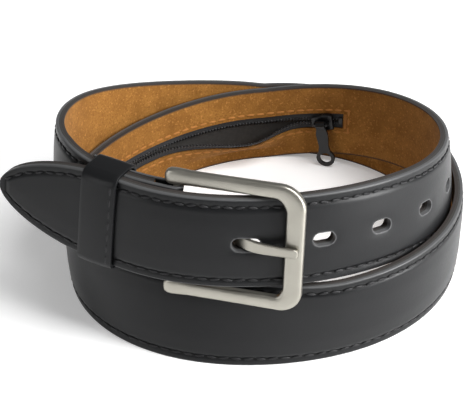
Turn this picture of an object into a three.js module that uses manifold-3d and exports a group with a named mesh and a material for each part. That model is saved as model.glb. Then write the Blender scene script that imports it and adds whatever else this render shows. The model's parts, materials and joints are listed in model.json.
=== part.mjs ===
// A money belt: a leather belt with a zipped pocket along its inside, buckled into a double coil.
// Units are millimetres and +Z is up. The coil stands on the strap's lower edge. Angles around the coil
// are in degrees from the front (-Y) through the right (+X), and they go on counting past one turn:
// the tip end is near -75, the lower turn lies on the ground from 180 to 540, and the buckle is at 690.
import * as THREE from "three";
import { mergeVertices } from "three/addons/utils/BufferGeometryUtils.js";
import Module from "manifold-3d";

// ---- Driving dimensions ----
const WIDTH = 35; // strap width
const OUTER = 1.3; // outer leather
const CORE = 0.7; // stiffener between the leathers
const LINING = 1.2; // suede lining
const LAYER_GAP = 0.1;
const STRAP = OUTER + CORE + LINING + 2 * LAYER_GAP; // 3.4 in all
const LINING_TOP = STRAP - LINING;

const COIL = { radius: 76.8, oval: 4.8, ovalAt: 27, egg: 1.6, eggAt: -8, pitch: 4.2 };
const RISE = 37; // height of the upper turn's lower edge at the front
const RIGHT_RAMP = { power: 1.35, leanPower: 1.5 };
const LEFT_RAMP = { start: 540, end: 648, swell: 1.5, leanFrom: 605, leanOver: 65 };
const TIP_LIFT = { from: 50, front: 2.8, growth: 5.5, per: 60 }; // the free end lies outside the buckle end
const TUCK = { start: 644, end: 690, depth: 8.6 }; // the buckle end draws in behind the free end
const LEAN = { mean: 0.8, side: 0.6, upper: -11, dip: 18, dipAt: 335, dipHalf: 50 };
const STRAIGHT_FROM = -42; // the free end runs straight beyond this angle

const HOLE_ONE = -3; // angle of the hole in use; distances along the strap start here
const HOLE = { pitch: 25.4, count: 5, length: 9, width: 5.3, usedLength: 12.2, usedShift: -4 };
const KEEPER = { at: -64, wide: 15, wall: 1.3, gap: 0.35, front: 0.9, depth: 12, corner: 2.5 };
const TIP = { end: -110, taper: 44, side: 1.7, nose: 0.54 };
const BAR_AT = 690;
const FOLD = { radius: 2.9, slotBack: 9, turnBack: 42, settle: 9, gap: 0.45 };
const BUCKLE = {
  reach: 45.5, opening: 39, arm: 5.5, bar: 7, thick: 4, corner: 9, inner: 5, end: 3.6, yaw: 4, drop: 1.6, roll: 1.9,
};
const BAR_RADIUS = 1.3;
const PRONG = { width: 4.5, thick: 1.9, sleeve: 2.8, bore: 1.6 };
// The prong's middle line seen along the hinge bar: distance from the bar, then height.
const PRONG_LINE = [[6, -1.2], [14, -1.3], [22, -1.2], [26, 1], [30, 3.2], [34, 3.9], [41.5, 3.6], [47.5, 3.3]];

const ZIP = { from: 151, to: 292, half: 3.9, tapeGap: 0.3, coil: 1.3, split: 0.4, slider: 158.5 };
const LIP = { hinge: -13.5, from: 164, to: 226, peakAt: 187, angle: 42 };
const STITCH = { inset: 3, wide: 0.8, high: 0.16, lift: 0.2, liftInside: 0.55, fromTip: 4, fromBar: 2 };
const SLIDER = { length: 10, width: 8, thick: 1.5, lift: 0.4, bridge: 2.2, rod: 0.5 };
const PULL = { length: 23, wide: 5.5, ring: 4.25, hole: 2.65, thick: 1.2, sleeve: 1.7, bore: 0.9 };

const wasm = await Module();
wasm.setup();

// ---- Small helpers ----
const rad = THREE.MathUtils.degToRad;
const clamp = THREE.MathUtils.clamp;
const smooth = (x) => THREE.MathUtils.smoothstep(x, 0, 1);

// ---- The path of the strap ----
// A plan point on the lower edge of the outer face, with its height and lean, at an angle in degrees.
function edgePoint(angle) {
  const turn = rad(angle);
  const rightUp = angle < 180;
  const leftUp = angle > 540;
  let radius = COIL.radius - COIL.oval * Math.cos(2 * (turn - rad(COIL.ovalAt)));
  radius -= COIL.egg * Math.cos(3 * (turn - rad(COIL.eggAt)));
  radius += COIL.pitch * (angle - 360) / 360;
  radius += TIP_LIFT.front * smooth(1 - angle / TIP_LIFT.from);
  if (angle < 0) radius += TIP_LIFT.growth * (angle / TIP_LIFT.per) ** 2;
  radius -= TUCK.depth * smooth((angle - TUCK.start) / (TUCK.end - TUCK.start));
  let rise = 0;
  if (rightUp) rise = Math.cos(Math.max(turn, 0) / 2) ** RIGHT_RAMP.power;
  if (leftUp) {
    const along = clamp((angle - LEFT_RAMP.start) / (LEFT_RAMP.end - LEFT_RAMP.start), 0, 1);
    rise = along - Math.sin(2 * Math.PI * along) / (8 * Math.PI);
    radius += LEFT_RAMP.swell * Math.sin(Math.PI * along);
  }
  let lean = LEAN.mean - LEAN.side * Math.sin(turn);
  const fromDip = (angle - LEAN.dipAt) / LEAN.dipHalf;
  if (Math.abs(fromDip) < 1) lean -= LEAN.dip * Math.cos(fromDip * Math.PI / 2) ** 2;
  if (rightUp) lean = lean * (1 - rise) + LEAN.upper * rise ** RIGHT_RAMP.leanPower;
  const settled = smooth((angle - LEFT_RAMP.leanFrom) / LEFT_RAMP.leanOver);
  if (leftUp) lean = THREE.MathUtils.lerp(lean, LEAN.upper, settled);
  return { x: radius * Math.sin(turn), y: -radius * Math.cos(turn), z: RISE * rise, lean: rad(lean) };
}

// Distances along the strap, one entry for each degree.
const FIRST = STRAIGHT_FROM;
const lengths = [0];
for (let angle = FIRST; angle < BAR_AT + 5; angle += 1) {
  const a = edgePoint(angle);
  const b = edgePoint(angle + 1);
  lengths.push(lengths.at(-1) + Math.hypot(b.x - a.x, b.y - a.y, b.z - a.z));
}
function rawLength(angle) {
  const index = Math.min(Math.floor(angle - FIRST), lengths.length - 2);
  return THREE.MathUtils.lerp(lengths[index], lengths[index + 1], angle - FIRST - index);
}
const along = (angle) => rawLength(angle) - rawLength(HOLE_ONE);
function angleAt(distance) {
  const raw = distance + rawLength(HOLE_ONE);
  const index = clamp(lengths.findIndex((length) => length > raw) - 1, 0, lengths.length - 2);
  return FIRST + index + (raw - lengths[index]) / (lengths[index + 1] - lengths[index]);
}

// The strap's frame at a distance along it: a point on the lower edge of the outer face, the direction
// along the strap, the direction outwards, and the direction across the strap, which leans with it.
function frameAt(distance) {
  const start = along(STRAIGHT_FROM);
  const angle = distance < start ? STRAIGHT_FROM : angleAt(distance);
  const here = edgePoint(angle);
  const before = edgePoint(angle - 0.5);
  const after = edgePoint(angle + 0.5);
  const forward = new THREE.Vector3(after.x - before.x, after.y - before.y, 0).normalize();
  const outward = new THREE.Vector3(forward.y, -forward.x, 0);
  const across = new THREE.Vector3(0, 0, Math.cos(here.lean)).addScaledVector(outward, Math.sin(here.lean));
  const point = new THREE.Vector3(here.x, here.y, here.z);
  if (distance < start) point.addScaledVector(forward, distance - start);
  const slope = (after.z - before.z) / Math.hypot(after.x - before.x, after.y - before.y);
  return { point, forward, outward, across, slope: distance < start ? 0 : slope };
}
// A point of the strap: side is measured across it from its middle, depth inwards from the outer face.
function strapPoint(frame, side, depth) {
  const onFace = frame.point.clone().addScaledVector(frame.across, side + WIDTH / 2);
  return onFace.addScaledVector(frame.outward, -depth);
}
// Half the strap's width, which closes to a blunt point at the free end.
function halfWidth(distance) {
  const fromEnd = clamp((distance - TIP.end) / TIP.taper, 0, 1);
  return WIDTH / 2 * (1 - (1 - fromEnd) ** TIP.side) ** TIP.nose;
}

// ---- The pocket's lip ----
// The lining below the zip sags open between two angles. It turns about a line near the lower edge.
function lipAngle(distance) {
  const angle = angleAt(distance);
  const span = angle < LIP.peakAt ? LIP.peakAt - LIP.from : LIP.to - LIP.peakAt;
  const away = Math.abs(angle - LIP.peakAt) / span;
  return away < 1 ? rad(LIP.angle) * Math.cos(away * Math.PI / 2) ** 2 : 0;
}
function lipPoint(frame, distance, side, depth) {
  const turn = side < 0 ? lipAngle(distance) : 0;
  const up = Math.max(side - LIP.hinge, 0);
  if (turn === 0 || up === 0) return strapPoint(frame, side, depth);
  const out = depth - LINING_TOP;
  const turnedSide = LIP.hinge + up * Math.cos(turn) - out * Math.sin(turn);
  const turnedDepth = LINING_TOP + up * Math.sin(turn) + out * Math.cos(turn);
  return strapPoint(frame, turnedSide, turnedDepth);
}

// ---- Sheets ----
// A closed sheet on a grid of stations by sides. corner(station, side, layer) gives a point of the
// near face (layer 0) or the far face (layer 1), and present(i, j) says which cells are there.
function sheet(stations, sides, corner, present = () => true) {
  const positions = [];
  const index = [];
  const ids = new Map();
  const vertex = (i, j, layer) => {
    const key = `${i},${j},${layer}`;
    if (!ids.has(key)) {
      ids.set(key, positions.length / 3);
      positions.push(...corner(stations[i], sides[j], layer).toArray());
    }
    return ids.get(key);
  };
  const quad = (a, b, c, d) => index.push(a, b, c, a, c, d);
  const rows = stations.length - 1;
  const columns = sides.length - 1;
  const has = (i, j) => i >= 0 && j >= 0 && i < rows && j < columns && present(i, j);
  for (let i = 0; i < rows; i += 1) {
    for (let j = 0; j < columns; j += 1) {
      if (!has(i, j)) continue;
      const near = [vertex(i, j, 0), vertex(i + 1, j, 0), vertex(i + 1, j + 1, 0), vertex(i, j + 1, 0)];
      const far = [vertex(i, j, 1), vertex(i + 1, j, 1), vertex(i + 1, j + 1, 1), vertex(i, j + 1, 1)];
      quad(near[0], near[1], near[2], near[3]);
      quad(far[0], far[3], far[2], far[1]);
      if (!has(i, j - 1)) quad(near[0], far[0], far[1], near[1]);
      if (!has(i + 1, j)) quad(near[1], far[1], far[2], near[2]);
      if (!has(i, j + 1)) quad(near[2], far[2], far[3], near[3]);
      if (!has(i - 1, j)) quad(near[3], far[3], far[0], near[0]);
    }
  }
  const geometry = new THREE.BufferGeometry();
  geometry.setAttribute("position", new THREE.Float32BufferAttribute(positions, 3));
  geometry.setIndex(index);
  return geometry;
}
// Distances from one to another, in equal steps no longer than the step.
const STEP = 11;
function steps(from, to, step = STEP) {
  const count = Math.max(1, Math.ceil((to - from) / step));
  return Array.from({ length: count + 1 }, (_, i) => from + (to - from) * i / count);
}
// The stations and the lines along the whole strap, so that all its layers bend at the same places.
// The middle two lines bound the zip's window in the lining and the prong's slot in the fold.
const LINES = [-WIDTH / 2, LIP.hinge, -ZIP.half, ZIP.half, WIDTH / 2];
const MIDDLE = 2;
const narrowed = (side, distance) => side * halfWidth(distance) / (WIDTH / 2);
const lipMarks = [LIP.from, LIP.to];
const zipEnds = [along(ZIP.from), along(ZIP.to)];
const tipSteps = [0.4, 1.6, 4, 8, 13, 20].map((d) => TIP.end + d);
const slotStart = along(BAR_AT) - FOLD.slotBack;
const bodyMarks = [TIP.end + TIP.taper, along(0), ...zipEnds, ...lipMarks.map(along), slotStart];
function strapStations(from, to) {
  const marks = [...tipSteps, ...bodyMarks.toSorted((a, b) => a - b)];
  const all = [tipSteps[0]];
  for (let i = 1; i < marks.length; i += 1) {
    all.push(...steps(marks[i - 1], marks[i]).slice(1));
  }
  return [from, ...all.filter((d) => d > from + 0.05 && d < to - 0.05), to];
}

// ---- Booleans ----
function solid(geometry) {
  const plain = geometry.clone();
  plain.deleteAttribute("normal");
  plain.deleteAttribute("uv");
  const merged = mergeVertices(plain, 1e-4);
  const triVerts = new Uint32Array(merged.index.array);
  const mesh = new wasm.Mesh({ numProp: 3, vertProperties: merged.attributes.position.array, triVerts });
  mesh.merge();
  return new wasm.Manifold(mesh);
}
function geometryOf(manifold) {
  const mesh = manifold.getMesh();
  const geometry = new THREE.BufferGeometry();
  geometry.setAttribute("position", new THREE.BufferAttribute(new Float32Array(mesh.vertProperties), 3));
  geometry.setIndex(new THREE.BufferAttribute(new Uint32Array(mesh.triVerts), 1));
  return geometry;
}
function cut(geometry, tools) {
  let result = solid(geometry);
  for (const tool of tools) result = result.subtract(solid(tool));
  return geometryOf(result);
}

// ---- Materials ----
const paint = (color, roughness, metalness = 0) => new THREE.MeshStandardMaterial({ color, roughness, metalness });
const BLACK_LEATHER = paint(0x2a2b2d, 0.5);
const TAN_SUEDE = paint(0xc08a48, 0.95);
const STIFFENER = paint(0x8a7458, 0.95);
const BLACK_THREAD = paint(0x18181a, 0.6);
const BLACK_TAPE = paint(0x1b1b1d, 0.85);
const BLACK_NYLON = paint(0x151517, 0.45);
const BLACK_METAL = paint(0x1e1e20, 0.4, 0.6);
const SATIN_NICKEL = paint(0xb9b6ac, 0.38, 1);

const belt = new THREE.Group();
function add(name, geometry, material, parent = belt) {
  const mesh = new THREE.Mesh(geometry, material);
  mesh.name = name;
  parent.add(mesh);
  return mesh;
}

// ---- Holes ----
// An oval punch through the strap, longer along the strap than across it.
function punch(distance, length) {
  const frame = frameAt(distance);
  const shape = new THREE.Shape();
  const straight = (length - HOLE.width) / 2;
  shape.absarc(straight, 0, HOLE.width / 2, -Math.PI / 2, Math.PI / 2);
  shape.absarc(-straight, 0, HOLE.width / 2, Math.PI / 2, 3 * Math.PI / 2);
  const geometry = new THREE.ExtrudeGeometry(shape, { depth: 12, bevelEnabled: false, curveSegments: 5 });
  geometry.translate(0, 0, -6);
  const middle = strapPoint(frame, 0, STRAP / 2);
  const up = new THREE.Vector3().crossVectors(frame.outward, frame.forward).normalize();
  const basis = new THREE.Matrix4().makeBasis(frame.forward, up, frame.outward);
  return geometry.applyMatrix4(basis.setPosition(middle));
}
const holes = Array.from({ length: HOLE.count }, (_, i) => {
  if (i === 0) return punch(HOLE.usedShift, HOLE.usedLength);
  return punch(HOLE.pitch * i, HOLE.length);
});

// ---- The strap's layers ----
const barAt = along(BAR_AT);
const layerEnd = barAt - FOLD.settle;

function outerLeather() {
  const straight = strapStations(tipSteps[0], barAt).map((distance) => ({ distance, part: "strap" }));
  const around = [60, 30, 0, -30, -60].map((angle) => ({ angle, part: "fold" }));
  const back = [0, FOLD.settle / 2, FOLD.slotBack, 18, 27, 35, FOLD.turnBack].map((away) => ({ away, part: "back" }));
  const stations = [...straight, ...around, ...back];
  const barFrame = frameAt(barAt);
  const corner = (station, side, layer) => {
    const depth = layer * OUTER;
    if (station.part === "strap") {
      return strapPoint(frameAt(station.distance), narrowed(side, station.distance), depth);
    }
    if (station.part === "fold") {
      const turn = rad(station.angle);
      const reach = FOLD.radius - depth;
      const point = strapPoint(barFrame, side, FOLD.radius);
      point.addScaledVector(barFrame.forward, reach * Math.cos(turn));
      return point.addScaledVector(barFrame.outward, reach * Math.sin(turn));
    }
    const flat = STRAP + FOLD.gap;
    const face = THREE.MathUtils.lerp(flat, 2 * FOLD.radius - OUTER, smooth(1 - station.away / FOLD.settle));
    return strapPoint(frameAt(barAt - station.away), side, face + OUTER - depth);
  };
  const inSlot = (station) => {
    if (station.part === "strap") return station.distance > barAt - FOLD.slotBack - 0.01;
    return station.part === "fold" || station.away < FOLD.slotBack - 0.01;
  };
  return sheet(stations, LINES, corner, (i, j) => !(j === MIDDLE && inSlot(stations[i])));
}

function layer(from, to) {
  const stations = strapStations(tipSteps[0], layerEnd);
  const corner = (distance, side, face) => {
    return strapPoint(frameAt(distance), narrowed(side, distance), face ? to : from);
  };
  return sheet(stations, LINES, corner);
}

function lining() {
  const stations = strapStations(tipSteps[0], layerEnd);
  const corner = (distance, side, face) => {
    return lipPoint(frameAt(distance), distance, narrowed(side, distance), LINING_TOP + face * LINING);
  };
  const inWindow = (i) => stations[i] > zipEnds[0] - 0.01 && stations[i] < zipEnds[1] - 0.01;
  return sheet(stations, LINES, corner, (i, j) => !(j === MIDDLE && inWindow(i)));
}

add("outer_leather", cut(outerLeather(), holes), BLACK_LEATHER);
add("core", cut(layer(OUTER + LAYER_GAP, OUTER + LAYER_GAP + CORE), holes), STIFFENER);
add("lining", cut(lining(), holes), TAN_SUEDE);

// ---- Edge stitching ----
// One row near each edge, which closes in with the edge at the free end.
function edgeRow(sign) {
  const stations = strapStations(TIP.end + STITCH.fromTip, barAt - STITCH.fromBar);
  const corner = (distance, offset, face) => {
    const centre = Math.max(halfWidth(distance) - STITCH.inset, 1);
    const depth = -STITCH.lift - (1 - face) * STITCH.high;
    return strapPoint(frameAt(distance), sign * centre + offset, depth);
  };
  return sheet(stations, [-STITCH.wide / 2, STITCH.wide / 2], corner);
}
add("stitch_row_upper", edgeRow(1), BLACK_THREAD);
add("stitch_row_lower", edgeRow(-1), BLACK_THREAD);

// ---- Zip ----
// A strip beside the zip's line, on the lining's side of the strap.
function zipStrip(from, to, sideFrom, sideTo, depthFrom, depthTo) {
  const marks = strapStations(tipSteps[0], layerEnd).filter((d) => d > from + 0.5 && d < to - 0.5);
  const corner = (distance, side, face) => {
    return lipPoint(frameAt(distance), distance, side, face ? depthTo : depthFrom);
  };
  return sheet([from, ...marks, to], [sideFrom, sideTo], corner);
}
const tapeEdge = ZIP.half - ZIP.tapeGap;
const coilEdge = ZIP.split + ZIP.coil;
const tapeFrom = zipEnds[0] + ZIP.tapeGap;
const tapeTo = zipEnds[1] - ZIP.tapeGap;
const coilFrom = tapeFrom + 2.5;
const coilTo = tapeTo - 2.5;
const TAPE_DEPTH = [LINING_TOP + 0.25, LINING_TOP + 0.7];
const COIL_DEPTH = [LINING_TOP + 0.25, STRAP];
add("zip_tape_upper", zipStrip(tapeFrom, tapeTo, coilEdge + 0.1, tapeEdge, ...TAPE_DEPTH), BLACK_TAPE);
add("zip_tape_lower", zipStrip(tapeFrom, tapeTo, -tapeEdge, -coilEdge - 0.1, ...TAPE_DEPTH), BLACK_TAPE);
add("zip_coil_upper", zipStrip(coilFrom, coilTo, ZIP.split, coilEdge, ...COIL_DEPTH), BLACK_NYLON);
add("zip_coil_lower", zipStrip(coilFrom, coilTo, -coilEdge, -ZIP.split, ...COIL_DEPTH), BLACK_NYLON);
add("zip_bottom_stop", zipStrip(tapeFrom, tapeFrom + 2.2, -coilEdge, coilEdge, ...COIL_DEPTH), BLACK_METAL);
add("zip_top_stop_upper", zipStrip(tapeTo - 2.2, tapeTo, ZIP.split, coilEdge, ...COIL_DEPTH), BLACK_METAL);
add("zip_top_stop_lower", zipStrip(tapeTo - 2.2, tapeTo, -coilEdge, -ZIP.split, ...COIL_DEPTH), BLACK_METAL);

// Stitching around the window, and a bar tack at each end of it.
function windowThread() {
  const inner = ZIP.half + 1.5;
  const outer = inner + 0.6;
  const marks = strapStations(tipSteps[0], layerEnd).filter((d) => d > zipEnds[0] - 2 && d < zipEnds[1] + 2);
  const stations = [zipEnds[0] - 3.1, zipEnds[0] - 2.5, ...marks, zipEnds[1] + 2.5, zipEnds[1] + 3.1];
  const corner = (distance, side, face) => {
    return lipPoint(frameAt(distance), distance, side, STRAP + STITCH.liftInside + face * STITCH.high);
  };
  const last = stations.length - 2;
  return sheet(stations, [-outer, -inner, inner, outer], corner, (i, j) => j !== 1 || i === 0 || i === last);
}
add("window_thread", windowThread(), BLACK_THREAD);
function barTack(from) {
  return zipStrip(from, from + 1.2, -ZIP.half + 0.2, ZIP.half - 0.2, STRAP + STITCH.liftInside, STRAP + 0.9);
}
add("bar_tack_right", barTack(zipEnds[0] - 1.8), BLACK_THREAD);
add("bar_tack_left", barTack(zipEnds[1] + 0.6), BLACK_THREAD);

// ---- Slider and pull ----
// The slider's own frame: X along the zip, Y up across it, Z inwards off the lining.
const sliderFrame = frameAt(along(ZIP.slider));
const sliderGroup = new THREE.Group();
{
  const alongZip = sliderFrame.forward.clone().addScaledVector(new THREE.Vector3(0, 0, 1), sliderFrame.slope);
  const inward = sliderFrame.outward.clone().negate();
  const right = alongZip.normalize().negate();
  const up = new THREE.Vector3().crossVectors(inward, right).normalize();
  const basis = new THREE.Matrix4().makeBasis(right, up, inward);
  sliderGroup.quaternion.setFromRotationMatrix(basis);
  sliderGroup.position.copy(strapPoint(sliderFrame, 0, STRAP + SLIDER.lift));
}
belt.add(sliderGroup);

function sliderBody() {
  const half = SLIDER.length / 2;
  const shape = new THREE.Shape();
  shape.moveTo(-half, -SLIDER.width * 0.3);
  shape.quadraticCurveTo(-half * 0.2, -SLIDER.width * 0.36, half * 0.2, -SLIDER.width / 2);
  shape.lineTo(half, -SLIDER.width * 0.44);
  shape.lineTo(half, SLIDER.width * 0.44);
  shape.lineTo(half * 0.2, SLIDER.width / 2);
  shape.quadraticCurveTo(-half * 0.2, SLIDER.width * 0.36, -half, SLIDER.width * 0.3);
  shape.closePath();
  const bevel = { bevelEnabled: true, bevelThickness: 0.3, bevelSize: 0.3, bevelOffset: -0.3, bevelSegments: 1 };
  const geometry = new THREE.ExtrudeGeometry(shape, { depth: SLIDER.thick - 0.6, curveSegments: 3, ...bevel });
  return geometry.translate(0, 0, 0.3);
}
add("slider_body", sliderBody(), BLACK_METAL, sliderGroup);

// The bridge is a rod along the zip on two feet. The pull hangs on it.
const rodHeight = SLIDER.thick + SLIDER.bridge;
function sliderBridge() {
  const half = 3.4;
  const foot = SLIDER.thick + 0.08;
  const shape = new THREE.Shape();
  shape.moveTo(-half, foot);
  shape.lineTo(-half, rodHeight - 0.4);
  shape.quadraticCurveTo(-half, rodHeight + SLIDER.rod, -half + 1, rodHeight + SLIDER.rod);
  shape.lineTo(half - 1, rodHeight + SLIDER.rod);
  shape.quadraticCurveTo(half, rodHeight + SLIDER.rod, half, rodHeight - 0.4);
  shape.lineTo(half, foot);
  shape.lineTo(half - 0.9, foot);
  shape.lineTo(half - 0.9, rodHeight - SLIDER.rod);
  shape.lineTo(-half + 0.9, rodHeight - SLIDER.rod);
  shape.lineTo(-half + 0.9, foot);
  shape.closePath();
  const wide = 2 * SLIDER.rod;
  const geometry = new THREE.ExtrudeGeometry(shape, { depth: wide, bevelEnabled: false, curveSegments: 3 });
  return geometry.translate(0, 0, -wide / 2).rotateX(Math.PI / 2);
}
add("slider_bridge", sliderBridge(), BLACK_METAL, sliderGroup);

// The pull: a sleeve on the rod, a waisted tab, and a round eye at its end. It hangs straight down.
const pullGroup = new THREE.Group();
{
  const axis = new THREE.Vector3(1, 0, 0).applyQuaternion(sliderGroup.quaternion);
  const down = new THREE.Vector3(0, 0, -1).addScaledVector(axis, axis.z).normalize();
  const face = new THREE.Vector3().crossVectors(axis, down.clone().negate());
  const basis = new THREE.Matrix4().makeBasis(axis, down.clone().negate(), face);
  pullGroup.quaternion.setFromRotationMatrix(basis);
  const rod = new THREE.Vector3(0, 0, rodHeight).applyQuaternion(sliderGroup.quaternion);
  pullGroup.position.copy(sliderGroup.position).add(rod);
}
belt.add(pullGroup);
function pullTab() {
  const end = -PULL.length + PULL.ring + PULL.sleeve;
  const half = PULL.wide / 2;
  const tab = new THREE.Shape();
  const joinAt = Math.asin(half / PULL.ring);
  tab.moveTo(-2, -PULL.sleeve + 0.5);
  tab.lineTo(-half, -PULL.sleeve - 3);
  tab.lineTo(-half * 0.8, end + PULL.ring * Math.cos(joinAt) + 3);
  tab.lineTo(-half, end + PULL.ring * Math.cos(joinAt));
  tab.absarc(0, end, PULL.ring, Math.PI / 2 + joinAt, 2 * Math.PI + Math.PI / 2 - joinAt, false);
  tab.lineTo(half * 0.8, end + PULL.ring * Math.cos(joinAt) + 3);
  tab.lineTo(half, -PULL.sleeve - 3);
  tab.lineTo(2, -PULL.sleeve + 0.5);
  tab.closePath();
  const eye = new THREE.Path();
  eye.absarc(0, end, PULL.hole, 0, 2 * Math.PI, true);
  tab.holes.push(eye);
  const plate = new THREE.ExtrudeGeometry(tab, { depth: PULL.thick, bevelEnabled: false, curveSegments: 10 });
  plate.translate(0, 0, -PULL.thick / 2);
  const ring = new THREE.Shape();
  ring.absarc(0, 0, PULL.sleeve, 0, 2 * Math.PI);
  const bore = new THREE.Path();
  bore.absarc(0, 0, PULL.bore, 0, 2 * Math.PI, true);
  ring.holes.push(bore);
  const sleeve = new THREE.ExtrudeGeometry(ring, { depth: 4, bevelEnabled: false, curveSegments: 6 });
  sleeve.translate(0, 0, -2).rotateY(Math.PI / 2);
  return geometryOf(solid(plate).add(solid(sleeve)));
}
add("pull_tab", pullTab(), BLACK_METAL, pullGroup);

// ---- Buckle ----
// The buckle's own frame: X from the hinge bar towards the end bar, Y up along the bar, Z outwards.
const barFrame = frameAt(barAt);
const buckleGroup = new THREE.Group();
{
  const up = barFrame.across.clone();
  const reach = barFrame.forward.clone().applyAxisAngle(up, rad(BUCKLE.yaw));
  const outward = new THREE.Vector3().crossVectors(reach, up).normalize();
  const straight = new THREE.Vector3().crossVectors(up, outward).normalize();
  buckleGroup.quaternion.setFromRotationMatrix(new THREE.Matrix4().makeBasis(straight, up, outward));
  buckleGroup.position.copy(strapPoint(barFrame, 0, FOLD.radius));
}
belt.add(buckleGroup);

function buckleFrame() {
  const inside = BUCKLE.opening / 2;
  const outside = inside + BUCKLE.arm;
  const far = BUCKLE.reach + BUCKLE.bar / 2;
  const near = BUCKLE.reach - BUCKLE.bar / 2;
  const knuckle = BUCKLE.arm / 2;
  const shape = new THREE.Shape();
  shape.moveTo(-BUCKLE.end + knuckle, -outside);
  shape.lineTo(far - BUCKLE.corner, -outside);
  shape.quadraticCurveTo(far, -outside, far, -outside + BUCKLE.corner);
  shape.lineTo(far, outside - BUCKLE.corner);
  shape.quadraticCurveTo(far, outside, far - BUCKLE.corner, outside);
  shape.lineTo(-BUCKLE.end + knuckle, outside);
  shape.absarc(-BUCKLE.end + knuckle, inside + knuckle, knuckle, Math.PI / 2, 3 * Math.PI / 2, false);
  shape.lineTo(near - BUCKLE.inner, inside);
  shape.quadraticCurveTo(near, inside, near, inside - BUCKLE.inner);
  shape.lineTo(near, -inside + BUCKLE.inner);
  shape.quadraticCurveTo(near, -inside, near - BUCKLE.inner, -inside);
  shape.lineTo(-BUCKLE.end + knuckle, -inside);
  shape.absarc(-BUCKLE.end + knuckle, -inside - knuckle, knuckle, Math.PI / 2, 3 * Math.PI / 2, false);
  const bevel = { bevelEnabled: true, bevelThickness: 0.8, bevelSize: 0.8, bevelOffset: -0.8, bevelSegments: 2 };
  const geometry = new THREE.ExtrudeGeometry(shape, { depth: BUCKLE.thick - 1.6, curveSegments: 5, ...bevel });
  return geometry.rotateZ(rad(BUCKLE.roll)).translate(0, -BUCKLE.drop, -BUCKLE.thick / 2 + 0.8);
}
function buckleBar() {
  const bar = new THREE.CylinderGeometry(BAR_RADIUS, BAR_RADIUS, BUCKLE.opening - 0.6, 12);
  return bar.translate(0, -BUCKLE.drop, 0);
}
add("buckle_frame", buckleFrame(), SATIN_NICKEL, buckleGroup);
add("buckle_bar", buckleBar(), SATIN_NICKEL, buckleGroup);

// The prong: a sleeve round the bar, a shank behind the strap, and a point that comes out through the
// hole and rests on the end bar.
function prong() {
  const half = PRONG.thick / 2;
  const shape = new THREE.Shape();
  const startAngle = Math.asin((PRONG_LINE[0][1] + half) / PRONG.sleeve);
  const endAngle = Math.asin((PRONG_LINE[0][1] - half) / PRONG.sleeve);
  shape.absarc(0, 0, PRONG.sleeve, startAngle, endAngle + 2 * Math.PI, false);
  for (const [x, y] of PRONG_LINE) shape.lineTo(x, y - half);
  for (const [x, y] of [...PRONG_LINE].reverse()) shape.lineTo(x, y + half);
  shape.closePath();
  const bore = new THREE.Path();
  bore.absarc(0, 0, PRONG.bore, 0, 2 * Math.PI, true);
  shape.holes.push(bore);
  const geometry = new THREE.ExtrudeGeometry(shape, { depth: PRONG.width, bevelEnabled: false, curveSegments: 8 });
  return geometry.rotateX(Math.PI / 2).translate(0, PRONG.width / 2, 0);
}
add("prong", prong(), SATIN_NICKEL, buckleGroup);

// ---- Keeper ----
// A loop round the free end and the buckle end, with the free end's lean.
const keeperFrame = frameAt(KEEPER.at);
function keeperPoint(x, side, depth) {
  return strapPoint(keeperFrame, side, depth).addScaledVector(keeperFrame.forward, x);
}
function roundedBox(shape, low, high, bottom, top, corner) {
  shape.moveTo(low + corner, bottom);
  shape.lineTo(high - corner, bottom);
  shape.quadraticCurveTo(high, bottom, high, bottom + corner);
  shape.lineTo(high, top - corner);
  shape.quadraticCurveTo(high, top, high - corner, top);
  shape.lineTo(low + corner, top);
  shape.quadraticCurveTo(low, top, low, top - corner);
  shape.lineTo(low, bottom + corner);
  shape.quadraticCurveTo(low, bottom, low + corner, bottom);
  return shape;
}
function keeper() {
  const side = WIDTH / 2 + KEEPER.gap;
  const low = -KEEPER.front;
  const high = low + KEEPER.depth;
  const wall = KEEPER.wall;
  const shape = roundedBox(new THREE.Shape(), low - wall, high + wall, -side - wall, side + wall, KEEPER.corner);
  shape.holes.push(roundedBox(new THREE.Path(), low, high, -side, side, 0.6));
  const geometry = new THREE.ExtrudeGeometry(shape, { depth: KEEPER.wide, bevelEnabled: false, curveSegments: 3 });
  const position = geometry.attributes.position;
  for (let i = 0; i < position.count; i += 1) {
    const point = keeperPoint(position.getZ(i) - KEEPER.wide / 2, position.getY(i), position.getX(i));
    position.setXYZ(i, ...point.toArray());
  }
  geometry.deleteAttribute("normal");
  return geometry;
}
add("keeper", keeper(), BLACK_LEATHER);

function keeperThread() {
  const x = KEEPER.wide / 2 - 2;
  const depth = -KEEPER.front - KEEPER.wall - STITCH.lift;
  const corner = (along_, side, face) => keeperPoint(along_, side, depth - (1 - face) * STITCH.high);
  return sheet([x - 0.4, x + 0.4], [-WIDTH / 2 + 2, WIDTH / 2 - 2], corner);
}
add("keeper_thread", keeperThread(), BLACK_THREAD);

function turnBackThread() {
  const from = barAt - FOLD.turnBack + 3;
  const depth = STRAP + FOLD.gap + OUTER + STITCH.lift;
  const corner = (distance, side, face) => strapPoint(frameAt(distance), side, depth + face * STITCH.high);
  return sheet([from, from + 0.8], [-WIDTH / 2 + 3, WIDTH / 2 - 3], corner);
}
add("turnback_thread", turnBackThread(), BLACK_THREAD);

// ---- Origin: the middle of the ground under the belt ----
belt.updateMatrixWorld(true);
const bounds = new THREE.Box3().setFromObject(belt, true);
const centre = bounds.getCenter(new THREE.Vector3());
belt.position.set(-centre.x, -centre.y, -bounds.min.z);
belt.updateMatrixWorld(true);

export default belt;
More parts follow.
